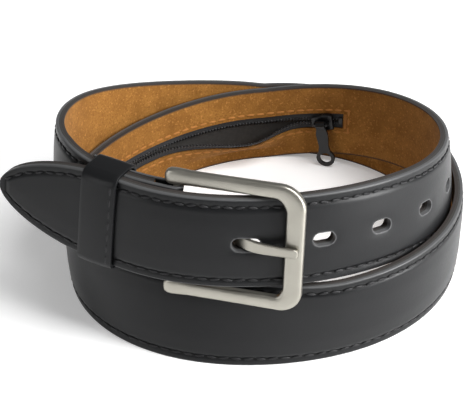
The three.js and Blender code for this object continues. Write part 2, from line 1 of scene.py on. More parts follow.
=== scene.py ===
# %% [markdown]
# # A leather money belt
# The belt is a black leather strap, lined with tan suede, that hides a zipped pocket along its inside.
# It stands on its edge, buckled into a double coil. The exact sizes and the joints come from a packed
# CAD model, which is loaded first and never moved. Each visible piece is then modelled again in the same
# place, with the padding, stitches, teeth and finish of the real thing.
#
# A belt is cut, punched and sewn while it lies flat, and only then bent round a waist. The script works
# in the same order: each piece is made flat with bmesh operators, and one function bends it all.

# %% Start from the fixed frame
import bisect
import functools
import json
import math

import bmesh
import bpy
from mathutils import Matrix, Vector


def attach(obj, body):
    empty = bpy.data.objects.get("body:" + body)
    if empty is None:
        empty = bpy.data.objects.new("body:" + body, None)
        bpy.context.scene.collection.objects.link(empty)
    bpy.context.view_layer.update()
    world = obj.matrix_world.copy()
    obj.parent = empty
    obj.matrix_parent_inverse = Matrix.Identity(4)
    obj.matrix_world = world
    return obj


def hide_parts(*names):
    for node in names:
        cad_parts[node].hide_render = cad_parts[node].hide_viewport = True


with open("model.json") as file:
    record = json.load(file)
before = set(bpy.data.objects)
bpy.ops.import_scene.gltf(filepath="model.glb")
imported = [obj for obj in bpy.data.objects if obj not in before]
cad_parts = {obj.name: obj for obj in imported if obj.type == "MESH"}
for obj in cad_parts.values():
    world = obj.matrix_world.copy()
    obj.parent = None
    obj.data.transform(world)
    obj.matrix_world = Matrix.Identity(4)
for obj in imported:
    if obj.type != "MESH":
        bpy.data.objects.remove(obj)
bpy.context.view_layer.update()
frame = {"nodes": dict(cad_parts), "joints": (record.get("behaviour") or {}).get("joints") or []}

# %% [markdown]
# ## Camera
# The camera looks down on the buckle from the front, through a long lens, so that the coil's far side
# looks only a little smaller than its near side.

# %% Camera
CAMERA_AT = Vector((-0.00066, -0.48983, 0.37228))
CAMERA_TO = Vector((-0.00066, -0.00100, 0.02437))
LENS = 110.96

camera_data = bpy.data.cameras.new("camera")
camera_data.lens = LENS
camera = bpy.data.objects.new("camera", camera_data)
bpy.context.collection.objects.link(camera)
camera.location = CAMERA_AT
camera.rotation_euler = (CAMERA_TO - CAMERA_AT).to_track_quat("-Z", "Y").to_euler()
bpy.context.scene.camera = camera
print("camera distance:", round((CAMERA_TO - CAMERA_AT).length, 3), "m")

# %% [markdown]
# ## The path of the strap
# The coil isn't a circle: it is a rounded oval that a hand has pushed into shape. Its plan radius is
# written as a formula of the angle round it, with one term for each thing that shapes the real belt:
# the oval, the spiral, the free end that stands off, and the buckle end that tucks in behind it. Angles
# are counted from the front, through the right, and go on past one turn.

# %% Sizes of the strap and its coil
MM = 0.001
WIDTH = 35 * MM
OUTER = 1.3 * MM
CORE = 0.7 * MM
LINING = 1.2 * MM
LAYER_GAP = 0.1 * MM
STRAP = OUTER + CORE + LINING + 2 * LAYER_GAP
LINING_TOP = STRAP - LINING
RISE = 37 * MM
STRAIGHT_FROM = -42
HOLE_ONE = -3
BAR_AT = 690
LEFT_RAMP = (540, 648)
TUCK = (644, 690)
DIP_AT = 335
DIP_HALF = 50
SETTLE = (605, 670)
FIT_SHIFT = Vector((10.977 * MM, -0.999 * MM, 0))

# Lengths of the plan's formula, in millimetres, and the angles that go with them, in degrees.
MEAN_RADIUS = 76.8
OVAL = 4.8
OVAL_TURN = 27
EGG = 1.6
EGG_TURN = 8
SPIRAL = 4.2
OVERLAP = 2.8
OVERLAP_ENDS = 50
STAND_OFF = 5.5
STAND_OFF_ANGLE = 60
TUCK_DEPTH = 8.6
RAMP_BULGE = 1.5

# How steeply the free end comes down, and how far the strap leans, in degrees.
DESCENT = 1.35
CLIMB_EASE = 8
REST_LEAN = 0.8
SIDE_LEAN = 0.6
DIP_LEAN = 18
RAISED_LEAN = 11


def smooth(value):
    value = min(max(value, 0), 1)
    return value * value * (3 - 2 * value)


def mix(a, b, share):
    return a + (b - a) * share


# %% The path itself
def plan_radius(angle):
    turn = math.radians(angle)
    radius = MEAN_RADIUS - OVAL * math.cos(2 * (turn - math.radians(OVAL_TURN)))
    radius -= EGG * math.cos(3 * (turn + math.radians(EGG_TURN)))
    radius += SPIRAL * (angle - 360) / 360
    radius += OVERLAP * smooth(1 - angle / OVERLAP_ENDS)
    if angle < 0:
        radius += STAND_OFF * (angle / STAND_OFF_ANGLE) ** 2
    radius -= TUCK_DEPTH * smooth((angle - TUCK[0]) / (TUCK[1] - TUCK[0]))
    if angle > LEFT_RAMP[0]:
        radius += RAMP_BULGE * math.sin(math.pi * ramp_share(angle))
    return radius * MM


def ramp_share(angle):
    """How far the buckle end has climbed, from 0 on the floor to 1 at full height."""
    return min((angle - LEFT_RAMP[0]) / (LEFT_RAMP[1] - LEFT_RAMP[0]), 1)


def rise_share(angle):
    """The height of the strap's lower edge, as a share of the full rise."""
    if angle < 180:
        return math.cos(math.radians(max(angle, 0)) / 2) ** DESCENT
    if angle > LEFT_RAMP[0]:
        share = ramp_share(angle)
        return share - math.sin(2 * math.pi * share) / (CLIMB_EASE * math.pi)
    return 0


def lean_angle(angle):
    """How far the top of the strap leans outwards."""
    lean = REST_LEAN - SIDE_LEAN * math.sin(math.radians(angle))
    from_dip = (angle - DIP_AT) / DIP_HALF
    if abs(from_dip) < 1:
        lean -= DIP_LEAN * math.cos(from_dip * math.pi / 2) ** 2
    if angle < 180:
        rise = rise_share(angle)
        lean = lean * (1 - rise) - RAISED_LEAN * rise ** 1.5
    if angle > LEFT_RAMP[0]:
        lean = mix(lean, -RAISED_LEAN, smooth((angle - SETTLE[0]) / (SETTLE[1] - SETTLE[0])))
    return math.radians(lean)


def edge_point(angle):
    """A point of the lower edge of the strap's outer face."""
    radius = plan_radius(angle)
    turn = math.radians(angle)
    return Vector((radius * math.sin(turn), -radius * math.cos(turn), RISE * rise_share(angle)))


# %% Distances along the strap
lengths = [0.0]
for degree in range(STRAIGHT_FROM, BAR_AT + 5):
    lengths.append(lengths[-1] + (edge_point(degree + 1) - edge_point(degree)).length)


def raw_length(angle):
    index = min(int(math.floor(angle - STRAIGHT_FROM)), len(lengths) - 2)
    return mix(lengths[index], lengths[index + 1], angle - STRAIGHT_FROM - index)


def along(angle):
    """Distance along the strap from the hole in use to an angle round the coil."""
    return raw_length(angle) - raw_length(HOLE_ONE)


def angle_at(distance):
    raw = distance + raw_length(HOLE_ONE)
    index = min(max(bisect.bisect_right(lengths, raw) - 1, 0), len(lengths) - 2)
    return STRAIGHT_FROM + index + (raw - lengths[index]) / (lengths[index + 1] - lengths[index])


@functools.lru_cache(maxsize=None)
def strap_frame(distance):
    """A point on the lower edge, and the directions forward, outward and across the strap there."""
    start = along(STRAIGHT_FROM)
    angle = STRAIGHT_FROM if distance < start else angle_at(distance)
    step = edge_point(angle + 0.5) - edge_point(angle - 0.5)
    forward = Vector((step.x, step.y, 0)).normalized()
    outward = Vector((forward.y, -forward.x, 0))
    lean = lean_angle(angle)
    across = Vector((0, 0, math.cos(lean))) + outward * math.sin(lean)
    point = edge_point(angle)
    if distance < start:
        point = point + forward * (distance - start)
    return point + FIT_SHIFT, forward, outward, across


bar_at = along(BAR_AT)
print("bar to hole in use:", round(bar_at, 3), "m")

# %% [markdown]
# ## Bending a flat piece
# A flat piece is drawn with X along the strap, Y across it and Z out of its black face. Bending moves
# each vertex to the same place on the coil. Past the hinge bar the leather turns back on itself, so the
# last stretch of X goes round a half circle and then back behind the strap.

# %% Bend
FOLD_RADIUS = 2.9 * MM
FOLD_TURN = math.pi * FOLD_RADIUS
FOLD_SETTLE = 9 * MM
FOLD_GAP = 0.45 * MM
TURN_BACK = 42 * MM


def strap_point(distance, side, out):
    """The place of a point of the flat strap. The lining side has a negative out."""
    if distance <= bar_at:
        point, forward, outward, across = strap_frame(round(distance, 6))
        return point + across * (side + WIDTH / 2) + outward * out
    beyond = distance - bar_at
    if beyond < FOLD_TURN:
        point, forward, outward, across = strap_frame(bar_at)
        turn = math.pi / 2 - beyond / FOLD_RADIUS
        reach = FOLD_RADIUS + out
        centre = point + across * (side + WIDTH / 2) - outward * FOLD_RADIUS
        return centre + forward * (reach * math.cos(turn)) + outward * (reach * math.sin(turn))
    away = beyond - FOLD_TURN
    point, forward, outward, across = strap_frame(round(bar_at - away, 6))
    face = mix(STRAP + FOLD_GAP, 2 * FOLD_RADIUS - OUTER, smooth(1 - away / FOLD_SETTLE))
    return point + across * (side + WIDTH / 2) - outward * (face + OUTER + out)


TIP_END = -110 * MM
TIP_TAPER = 44 * MM
TIP_SIDE = 1.7
TIP_NOSE = 0.54


def half_width(distance):
    """Half the strap's width, which closes to a blunt point at the free end."""
    from_end = min(max((distance - TIP_END) / TIP_TAPER, 0), 1)
    return WIDTH / 2 * (1 - (1 - from_end) ** TIP_SIDE) ** TIP_NOSE


def edge_distance(distance, side):
    """How far a point of the flat strap is from its outline."""
    return min(half_width(distance) - abs(side), distance - TIP_END)


HOLE_PITCH = 25.4 * MM
HOLE_WIDTH = 5.3 * MM
HOLE_LENGTH = 9 * MM
USED_LENGTH = 11.1 * MM
USED_SHIFT = -4.5 * MM
HOLES = [(USED_SHIFT, USED_LENGTH)] + [(HOLE_PITCH * number, HOLE_LENGTH) for number in range(1, 5)]


def hole_distance(distance, side):
    """How far a point of the flat strap is from the edge of the nearest punched hole."""
    nearest = WIDTH
    for centre, length in HOLES:
        away = max(abs(distance - centre) - (length - HOLE_WIDTH) / 2, 0)
        nearest = min(nearest, math.hypot(away, side) - HOLE_WIDTH / 2)
    return nearest


# %% [markdown]
# ## The pocket's lip
# The suede below the zip sags open over part of the back. On the real belt it curls over from a line
# near the lower stitches. Here each point turns about that line, and less so close to it.

# %% Sag
ZIP_HALF = 3.9 * MM
ZIP_FROM = along(151)
ZIP_TO = along(292)
LIP_HINGE = -13.5 * MM
LIP_EASE = 4 * MM
LIP_FROM = 164
LIP_PEAK = 187
LIP_TO = 226
LIP_ANGLE = 42


@functools.lru_cache(maxsize=None)
def lip_turn(distance):
    angle = angle_at(distance)
    span = LIP_PEAK - LIP_FROM if angle < LIP_PEAK else LIP_TO - LIP_PEAK
    away = abs(angle - LIP_PEAK) / span
    return math.radians(LIP_ANGLE) * math.cos(away * math.pi / 2) ** 2 if away < 1 else 0


def lip_point(distance, side, out):
    turn = lip_turn(round(distance, 6)) if LIP_HINGE < side < 0 else 0
    if turn == 0:
        return strap_point(distance, side, out)
    up = side - LIP_HINGE
    turn *= smooth(up / LIP_EASE)
    below = -out - LINING_TOP
    turned_side = LIP_HINGE + up * math.cos(turn) - below * math.sin(turn)
    turned_out = -LINING_TOP - up * math.sin(turn) - below * math.cos(turn)
    return strap_point(distance, turned_side, turned_out)


# %% [markdown]
# ## Helpers for the modelling
# A flat layer starts as one grid. Its cells are narrow near the rounded point and near the long edges,
# where the shape changes fastest. Solidify gives it its thickness, and a boolean modifier punches it,
# as a hand tool would.

# %% Flat layers
LONG_CELLS = 380
TIP_CELLS = 16
TOOL_DEPTH = 20 * MM
OVAL_SIDES = 28


def spread(share):
    """Even steps from 0 to 1, made smaller at the start."""
    slow = TIP_CELLS / LONG_CELLS
    if share < slow:
        return share * share / (2 * slow) / (1 - slow / 2)
    return (share - slow / 2) / (1 - slow / 2)


def flat_layer(start, end, top, thick, wide_cells=24):
    """A flat layer of the strap, drawn from one end to the other, with its upper face at top."""
    bm = bmesh.new()
    bmesh.ops.create_grid(bm, x_segments=LONG_CELLS, y_segments=wide_cells, size=1)
    for vert in bm.verts:
        distance = mix(start, end, spread((vert.co.x + 1) / 2))
        side = math.sin(vert.co.y * math.pi / 2) * half_width(distance)
        vert.co = (distance, side, 0)
    bmesh.ops.solidify(bm, geom=bm.faces[:], thickness=thick)
    highest = max(vert.co.z for vert in bm.verts)
    bmesh.ops.translate(bm, verts=bm.verts[:], vec=(0, 0, top - highest))
    bmesh.ops.recalc_face_normals(bm, faces=bm.faces[:])
    return bm


def mesh_of(bm):
    mesh = bpy.data.meshes.new("mesh")
    bm.to_mesh(mesh)
    bm.free()
    return mesh


def punched(bm, tool):
    """The shape with another taken out of it. Both are bmeshes, and both are used up."""
    body = bpy.data.objects.new("body_flat", mesh_of(bm))
    cutter = bpy.data.objects.new("cutter_flat", mesh_of(tool))
    for thing in (body, cutter):
        bpy.context.collection.objects.link(thing)
    modifier = body.modifiers.new("punch", "BOOLEAN")
    modifier.operation = "DIFFERENCE"
    modifier.solver = "EXACT"
    modifier.object = cutter
    result = bmesh.new()
    result.from_object(body, bpy.context.evaluated_depsgraph_get())
    for thing in (body, cutter):
        data = thing.data
        bpy.data.objects.remove(thing)
        bpy.data.meshes.remove(data)
    return result


def add_oval(bm, centre, length, width):
    """An upright oval punch with straight sides."""
    made = bmesh.ops.create_cone(bm, segments=OVAL_SIDES, radius1=width / 2, radius2=width / 2,
                                 depth=TOOL_DEPTH, cap_ends=True,
                                 matrix=Matrix.Rotation(math.pi / OVAL_SIDES, 4, "Z"))
    for vert in made["verts"]:
        vert.co.x += math.copysign((length - width) / 2, vert.co.x) + centre


# %% Finished pieces
SMOOTH_UNDER = math.radians(38)


def show(name, mesh, look, body, stands_for):
    """Puts a mesh in the scene as one named piece, with its finish and its body, and hides the CAD nodes
    it stands for.
    """
    mesh.name = name
    mesh.shade_smooth()
    mesh.set_sharp_from_angle(angle=SMOOTH_UNDER)
    piece = bpy.data.objects.new(name, mesh)
    bpy.context.collection.objects.link(piece)
    piece.data.materials.append(look.material)
    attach(piece, body)
    if stands_for:
        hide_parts(*stands_for)
    print(name, len(mesh.polygons), "faces")
    return piece


def bent(bm, place):
    """The bent mesh of a flat bmesh. It keeps the flat drawing as its UV map, in centimetres, and in
    millimetres how far each vertex is from the outline, from_edge, and from any cut, from_cut."""
    layer = bm.loops.layers.uv.new("flat")
    from_edge = bm.verts.layers.float.new("from_edge")
    from_cut = bm.verts.layers.float.new("from_cut")
    for face in bm.faces:
        for loop in face.loops:
            loop[layer].uv = loop.vert.co.xy * 100
    for vert in bm.verts:
        x, y = vert.co.xy
        vert[from_edge] = edge_distance(x, y) / MM
        vert[from_cut] = min(vert[from_edge], hole_distance(x, y) / MM)
    for vert in bm.verts:
        vert.co = place(*vert.co)
    return mesh_of(bm)


# %% [markdown]
# ## Writing materials as sums
# A material is a small drawing of nodes. Adding every node by hand hides the idea, so a small class
# wraps a socket and turns plain sums into Math nodes. One method adds any other node.

# %% Material helpers
class Wire:
    """One output socket, which can be used in sums."""

    def __init__(self, look, socket):
        self.look = look
        self.socket = socket

    def sum(self, operation, first, second):
        return self.look.add("ShaderNodeMath", {"operation": operation}, {0: first, 1: second})["Value"]

    def __add__(self, other):
        return self.sum("ADD", self, other)

    def __radd__(self, other):
        return self.sum("ADD", other, self)

    def __sub__(self, other):
        return self.sum("SUBTRACT", self, other)

    def __rsub__(self, other):
        return self.sum("SUBTRACT", other, self)

    def __mul__(self, other):
        return self.sum("MULTIPLY", self, other)

    def __rmul__(self, other):
        return self.sum("MULTIPLY", other, self)

    def __truediv__(self, other):
        return self.sum("DIVIDE", self, other)


class Look:
    """A material that is being put together round one Principled shader."""

    def __init__(self, name, **values):
        self.material = bpy.data.materials.new(name)
        self.material.use_nodes = True
        self.tree = self.material.node_tree
        self.shader = self.tree.nodes["Principled BSDF"]
        self.set(**values)

    def set(self, **values):
        """Sets or links the shader's own sockets: base_color stands for Base Color."""
        for name, value in values.items():
            title = name.replace("_", " ").title().replace("Ior", "IOR")
            self.join(self.shader.inputs[title], value)

    def join(self, socket, value):
        if isinstance(value, Wire):
            self.tree.links.new(value.socket, socket)
        else:
            socket.default_value = value

    def add(self, kind, settings, values):
        """Adds a node, with its settings first and then its sockets. Returns its outputs by name."""
        node = self.tree.nodes.new(kind)
        for name, value in settings.items():
            if name == "stops":
                self.ramp(node.color_ramp, value)
            else:
                setattr(node, name, value)
        for name, value in values.items():
            if isinstance(name, int):
                self.join(node.inputs[name], value)
            else:
                self.join(next(s for s in node.inputs if s.enabled and s.name == name), value)
        return {socket.name: Wire(self, socket) for socket in node.outputs if socket.enabled}

    def ramp(self, ramp, stops):
        while len(ramp.elements) < len(stops):
            ramp.elements.new(0.5)
        for element, (place, value) in zip(ramp.elements, stops):
            element.position = place
            element.color = (value, value, value, 1)

    def at(self):
        return self.add("ShaderNodeTexCoord", {}, {})["Object"]

    def flat(self):
        return self.add("ShaderNodeUVMap", {"uv_map": "flat"}, {})["UV"]

    def attribute(self, name):
        return self.add("ShaderNodeAttribute", {"attribute_name": name}, {})["Fac"]

    def noise(self, scale, detail=3.0, where=None):
        values = {"Vector": where or self.at(), "Scale": scale, "Detail": detail}
        return self.add("ShaderNodeTexNoise", {}, values)["Fac"]

    def steps(self, value, *stops):
        """A value read off a ramp, given as pairs of a place and a result."""
        return self.add("ShaderNodeValToRGB", {"stops": stops}, {"Fac": value})["Color"]

    def blend(self, share, first, second):
        values = {"Factor": share, "A": first, "B": second}
        return self.add("ShaderNodeMix", {"data_type": "RGBA"}, values)["Result"]

    def bump(self, height, distance, strength=1.0):
        values = {"Height": height, "Distance": distance, "Strength": strength}
        self.set(normal=self.add("ShaderNodeBump", {}, values)["Normal"])


def shade(red, green, blue):
    return (red, green, blue, 1)


# %% [markdown]
# ## Black leather
# The face is smooth coated leather. Close up it has a fine pebble grain, and over a larger scale it is
# a little uneven, so its sheen breaks up. The cut edges are sealed with a grey-black paint that is
# smoother and paler than the face. The attribute from_cut tells the two apart, and from_edge finds the
# groove under the stitches, which is duller, and whose colour carries painted shade.

# %% Black leather finish
leather = Look("black_leather", specular_ior_level=0.22, coat_weight=0.05, coat_roughness=0.18)
pebbles = leather.add("ShaderNodeTexVoronoi", {"feature": "SMOOTH_F1"},
                      {"Vector": leather.at(), "Scale": 1500.0, "Smoothness": 0.6})["Distance"]
patches = leather.noise(38.0, 4.0)
grain = leather.noise(900.0, 4.0)
from_edge = leather.attribute("from_edge")
painted = leather.steps(leather.attribute("from_cut") / 1.2, (0.1, 1.0), (0.55, 0.0))
face_colour = leather.blend(patches, shade(0.005, 0.0053, 0.006), shade(0.009, 0.0094, 0.0102))
groove = leather.steps(from_edge / 6, (0.40, 0.0), (0.47, 1.0), (0.53, 1.0), (0.60, 0.0))
# Painted shade: the colour in the groove under the stitches is darkened towards near-black, standing in
# for the shade in that recess.
groove_shaded_face = leather.blend(groove * 0.8, face_colour, shade(0.002, 0.002, 0.002))
leather.set(
    base_color=leather.blend(painted, groove_shaded_face, shade(0.085, 0.086, 0.088)),
    roughness=0.30 + patches * 0.12 + grain * 0.08 + groove * 0.3 - painted * 0.05,
)
leather.bump(pebbles * 0.5 + grain * 0.5, 0.00004, 0.7)

# %% [markdown]
# ## The outer leather
# The stitched rim of the strap is pressed flat and the middle is padded, so the face is gently crowned.
# A groove runs under each row of stitches. All of this is one height over the flat drawing. The cut
# edges are rounded over.

# %% Outer leather
STITCH_INSET = 3 * MM
GROOVE_HALF = 0.9 * MM
GROOVE = 0.35 * MM
SHOULDER_FROM = 3.5 * MM
SHOULDER_EASE = 0.8 * MM
SHOULDER = 0.42 * MM
PAD = 0.3 * MM
PAD_EASE = 8 * MM
HOLE_SINK = 0.35 * MM
HOLE_SINK_REACH = 1.6 * MM
ROUND_OVER = 0.8 * MM


def face_height(distance, side):
    edge = edge_distance(distance, side)
    height = SHOULDER * smooth((edge - SHOULDER_FROM) / SHOULDER_EASE)
    height += PAD * smooth((edge - SHOULDER_FROM) / PAD_EASE)
    height -= HOLE_SINK * smooth(1 - hole_distance(distance, side) / HOLE_SINK_REACH)
    in_groove = abs(edge - STITCH_INSET) / GROOVE_HALF
    if in_groove < 1:
        height -= GROOVE * math.cos(in_groove * math.pi / 2) ** 2
    if edge < ROUND_OVER:
        height -= 0.6 * ROUND_OVER * (1 - math.sqrt(1 - (1 - max(edge, 0) / ROUND_OVER) ** 2))
    return height


SLOT_BACK = 9 * MM


def hole_punches():
    tool = bmesh.new()
    for centre, length in HOLES:
        add_oval(tool, centre, length, HOLE_WIDTH)
    return tool


def add_block(bm, start, end, half):
    made = bmesh.ops.create_cube(bm, size=1)
    size = Matrix.Diagonal((end - start, 2 * half, TOOL_DEPTH, 1))
    bmesh.ops.transform(bm, matrix=Matrix.Translation(((start + end) / 2, 0, 0)) @ size,
                        verts=made["verts"])


TIP_START = TIP_END + 0.05 * MM
strap_flat = flat_layer(TIP_START, bar_at + FOLD_TURN + TURN_BACK, 0, OUTER, wide_cells=46)
for vert in strap_flat.verts:
    if vert.co.z > -OUTER / 2:
        vert.co.z += face_height(vert.co.x, vert.co.y)
tool = hole_punches()
add_block(tool, bar_at - SLOT_BACK, bar_at + FOLD_TURN + SLOT_BACK, ZIP_HALF)
strap_flat = punched(strap_flat, tool)
show("strap_leather", bent(strap_flat, strap_point), leather, "belt", ["outer_leather"])

# %% [markdown]
# ## The stiffener
# Between the leathers lies a thin firm board, dyed black. It shows at the painted edge, in the holes,
# and through the open mouth of the pocket.

# %% Stiffener
board = Look("stiffener", roughness=0.85)
fibres = board.noise(700.0, 5.0)
board.set(base_color=board.blend(fibres, shade(0.02, 0.019, 0.018), shade(0.05, 0.046, 0.042)))
board.bump(fibres, 0.0001, 0.6)

LAYER_END = bar_at - FOLD_SETTLE
core_flat = flat_layer(TIP_START, LAYER_END, -OUTER - LAYER_GAP / 2, CORE + LAYER_GAP)
core_flat = punched(core_flat, hole_punches())
show("stiffener_board", bent(core_flat, strap_point), board, "belt", ["core"])

# %% [markdown]
# ## Suede lining
# Suede is leather with its nap raised: it scatters light in all directions, so it has no shine, and it
# is mottled where the nap lies in different directions. Its cut edges carry the same dark paint as the
# leather's.

# %% Suede finish
suede = Look("tan_suede", roughness=0.95, specular_ior_level=0.08, sheen_weight=0.06, sheen_roughness=0.5)
nap = suede.noise(1300.0, 6.0)
mottle = suede.noise(120.0, 5.0)
clouds = suede.noise(28.0, 3.0)
tone = suede.steps(mottle * 0.55 + clouds * 0.45, (0.38, 0.0), (0.62, 1.0))
tan = suede.blend(tone, shade(0.20, 0.084, 0.0155), shade(0.295, 0.133, 0.028))
flecks = suede.steps(nap, (0.36, 1.0), (0.50, 0.0))
tan = suede.blend(flecks * 0.6, tan, shade(0.17, 0.066, 0.015))
fluff = suede.steps(suede.noise(1000.0, 2.0), (0.58, 0.0), (0.70, 1.0))
tan = suede.blend(fluff * 0.45, tan, shade(0.56, 0.26, 0.07))
rim = suede.steps(suede.attribute("from_cut") / 1.5, (0.1, 1.0), (0.7, 0.0))
suede.set(base_color=suede.blend(rim, tan, shade(0.035, 0.03, 0.028)))
suede.bump(nap * 0.6 + mottle * 0.4, 0.00025, 0.8)

# %% Lining
lining_flat = flat_layer(TIP_START, LAYER_END, -LINING_TOP, LINING)
tool = hole_punches()
add_block(tool, ZIP_FROM, ZIP_TO, ZIP_HALF)
lining_flat = punched(lining_flat, tool)
show("suede_lining", bent(lining_flat, lip_point), suede, "belt", ["lining"])

# %% [markdown]
# ## Stitches
# Each stitch is a short bead of twisted thread that dips into the leather at both ends. Hundreds are
# needed, so each is a small stretched ball of a few faces. Alternate stitches tilt a little, as a
# machine's do.

# %% Thread finish and the stitch
thread = Look("black_thread", base_color=shade(0.004, 0.004, 0.005), specular_ior_level=0.35)
twist = thread.noise(2500.0, 2.0)
thread.set(roughness=0.36 + twist * 0.25)
thread.bump(twist, 0.00008, 0.6)

STITCH_PITCH = 4.7 * MM
STITCH_LONG = 3.7 * MM
STITCH_WIDE = 1.15 * MM
STITCH_HIGH = 0.8 * MM
TILT = math.radians(6)
ROW_START = TIP_END + 4.5 * MM
ROW_LENGTH = bar_at - TIP_END - 6 * MM


def add_bead(bm, centre, heading, size):
    """A small ball with its poles along its length, stretched to a size."""
    place = Matrix.Translation(centre) @ Matrix.Rotation(heading, 4, "Z")
    stretched = Matrix.Diagonal((*size, 1)) @ Matrix.Rotation(math.pi / 2, 4, "Y")
    bmesh.ops.create_uvsphere(bm, u_segments=6, v_segments=6, radius=0.5, matrix=place @ stretched)


def add_stitch(bm, centre, heading):
    add_bead(bm, centre, heading, (STITCH_LONG, STITCH_WIDE, STITCH_HIGH))


def row_side(distance):
    return max(half_width(distance) - STITCH_INSET, 1 * MM)


def edge_row(sign):
    """The stitches along one edge, each turned to follow the outline."""
    bm = bmesh.new()
    for number in range(int(ROW_LENGTH / STITCH_PITCH)):
        distance = ROW_START + STITCH_PITCH * number
        side = sign * row_side(distance)
        ahead = sign * row_side(distance + 1 * MM)
        heading = math.atan2(ahead - side, 1 * MM) + (TILT if number % 2 else -TILT)
        add_stitch(bm, (distance, side, 0.02 * MM), heading)
    return bm


for side_name, sign in (("upper", 1), ("lower", -1)):
    stitches = bent(edge_row(sign), strap_point)
    show("stitches_" + side_name, stitches, thread, "belt", ["stitch_row_" + side_name])

# %% [markdown]
# ## Zip
# The two tapes are woven ribbons. Each carries a coil, whose turns are the zip's teeth. On the open
# part of the pocket the lower tape sags with the suede, so its teeth are placed flat, as the stitches
# are, and bent by the same function as the lip.

# %% Zip finishes
tape = Look("zip_tape", roughness=0.85)
weave = tape.add("ShaderNodeTexWave", {"bands_direction": "DIAGONAL"},
                 {"Vector": tape.flat(), "Scale": 9.0, "Distortion": 0.4})["Fac"]
tape.set(base_color=tape.blend(weave, shade(0.008, 0.008, 0.009), shade(0.028, 0.028, 0.03)))
tape.bump(weave, 0.0001, 0.7)

nylon = Look("zip_nylon", base_color=shade(0.006, 0.006, 0.007), specular_ior_level=0.5)
scuffs = nylon.noise(600.0, 2.0)
nylon.set(roughness=0.28 + scuffs * 0.18)
nylon.bump(scuffs, 0.00003, 0.5)

# %% Tapes, teeth and stops
TAPE_EDGE = ZIP_HALF - 0.3 * MM
COIL_WIDE = 1.3 * MM
COIL_SPLIT = 0.4 * MM
COIL_EDGE = COIL_SPLIT + COIL_WIDE
TAPE_TOP = LINING_TOP + 0.25 * MM
TAPE_THICK = 0.45 * MM
TOOTH_PITCH = 1.5 * MM
TOOTH_HIGH = 1.15 * MM
STOP_LONG = 2.2 * MM
STOP_HIGH = 1.3 * MM
TAPE_FROM = ZIP_FROM + 0.3 * MM
TAPE_TO = ZIP_TO - 0.3 * MM
COIL_FROM = TAPE_FROM + 2.5 * MM
COIL_TO = TAPE_TO - 2.5 * MM


def tape_strip(sign):
    bm = bmesh.new()
    bmesh.ops.create_grid(bm, x_segments=120, y_segments=3, size=1)
    for vert in bm.verts:
        distance = mix(TAPE_FROM, TAPE_TO, (vert.co.x + 1) / 2)
        inner, outer = sorted((sign * (COIL_EDGE - 0.5 * MM), sign * TAPE_EDGE))
        vert.co = (distance, mix(inner, outer, (vert.co.y + 1) / 2), -TAPE_TOP)
    bmesh.ops.solidify(bm, geom=bm.faces[:], thickness=TAPE_THICK)
    bmesh.ops.recalc_face_normals(bm, faces=bm.faces[:])
    return bm


def teeth(sign):
    """The turns of one coil. Those of the other coil lie between them."""
    bm = bmesh.new()
    count = int((COIL_TO - COIL_FROM) / TOOTH_PITCH)
    for number in range(count):
        distance = COIL_FROM + TOOTH_PITCH * (number + (0.5 if sign > 0 else 0.2))
        centre = (distance, sign * (COIL_SPLIT + COIL_WIDE / 2), -STRAP + 0.55 * MM)
        place = Matrix.Translation(centre) @ Matrix.Rotation(sign * math.radians(9), 4, "Z")
        size = Matrix.Diagonal((TOOTH_PITCH * 0.86, COIL_WIDE * 1.12, TOOTH_HIGH, 1))
        turned = Matrix.Rotation(math.pi / 2, 4, "X")
        bmesh.ops.create_uvsphere(bm, u_segments=8, v_segments=6, radius=0.5, matrix=place @ size @ turned)
    return bm


def stop_block(start, end, low, high):
    """A crimped metal stop across a coil, with rounded edges."""
    bm = bmesh.new()
    size = Matrix.Diagonal((end - start, high - low, STOP_HIGH, 1))
    place = Matrix.Translation(((start + end) / 2, (low + high) / 2, -STRAP + 0.5 * MM))
    bmesh.ops.create_cube(bm, size=1, matrix=place @ size)
    bmesh.ops.bevel(bm, geom=bm.edges[:], offset=0.3 * MM, offset_type="OFFSET", segments=3,
                    profile=0.5, affect="EDGES", material=-1)
    return bm


enamel = Look("black_enamel", coat_weight=0.15, coat_roughness=0.15, specular_ior_level=0.3)
wear = enamel.noise(300.0, 4.0)
enamel.set(
    base_color=enamel.blend(wear, shade(0.002, 0.002, 0.002), shade(0.007, 0.007, 0.008)),
    roughness=0.22 + wear * 0.2,
)
enamel.bump(wear, 0.00003, 0.4)

for side_name, sign in (("upper", 1), ("lower", -1)):
    strip = bent(tape_strip(sign), lip_point)
    show("tape_" + side_name, strip, tape, "belt", ["zip_tape_" + side_name])
    turns = bent(teeth(sign), lip_point)
    show("teeth_" + side_name, turns, nylon, "belt", ["zip_coil_" + side_name])
    low, high = sorted((sign * COIL_SPLIT, sign * COIL_EDGE))
    stop = bent(stop_block(TAPE_TO - STOP_LONG, TAPE_TO, low, high), lip_point)
    show("top_stop_" + side_name, stop, enamel, "belt", ["zip_top_stop_" + side_name])
stop = bent(stop_block(TAPE_FROM, TAPE_FROM + STOP_LONG, -COIL_EDGE, COIL_EDGE), lip_point)
show("bottom_stop", stop, enamel, "belt", ["zip_bottom_stop"])

# %% [markdown]
# ## Stitching round the zip
# A row of tan thread runs above and below the zip's window and across its ends. A bar tack at each end,
# a dense row of short stitches, stops the window tearing. Both are beads like those of the edge rows.

# %% Stitches round the zip's window
tan_thread = Look("tan_thread", base_color=shade(0.36, 0.15, 0.035), specular_ior_level=0.2)
ply = tan_thread.noise(2500.0, 2.0)
tan_thread.set(roughness=0.6 + ply * 0.3)
tan_thread.bump(ply, 0.00008, 0.6)

WINDOW_ROW = ZIP_HALF + 1.8 * MM
WINDOW_TOP = -STRAP - 0.05 * MM
WINDOW_ENDS = 2.8 * MM
TACK_SIZE = (1.7 * MM, 0.6 * MM, 0.7 * MM)
TACK_PITCH = 0.5 * MM
TACK_TOP = -STRAP - 0.1 * MM


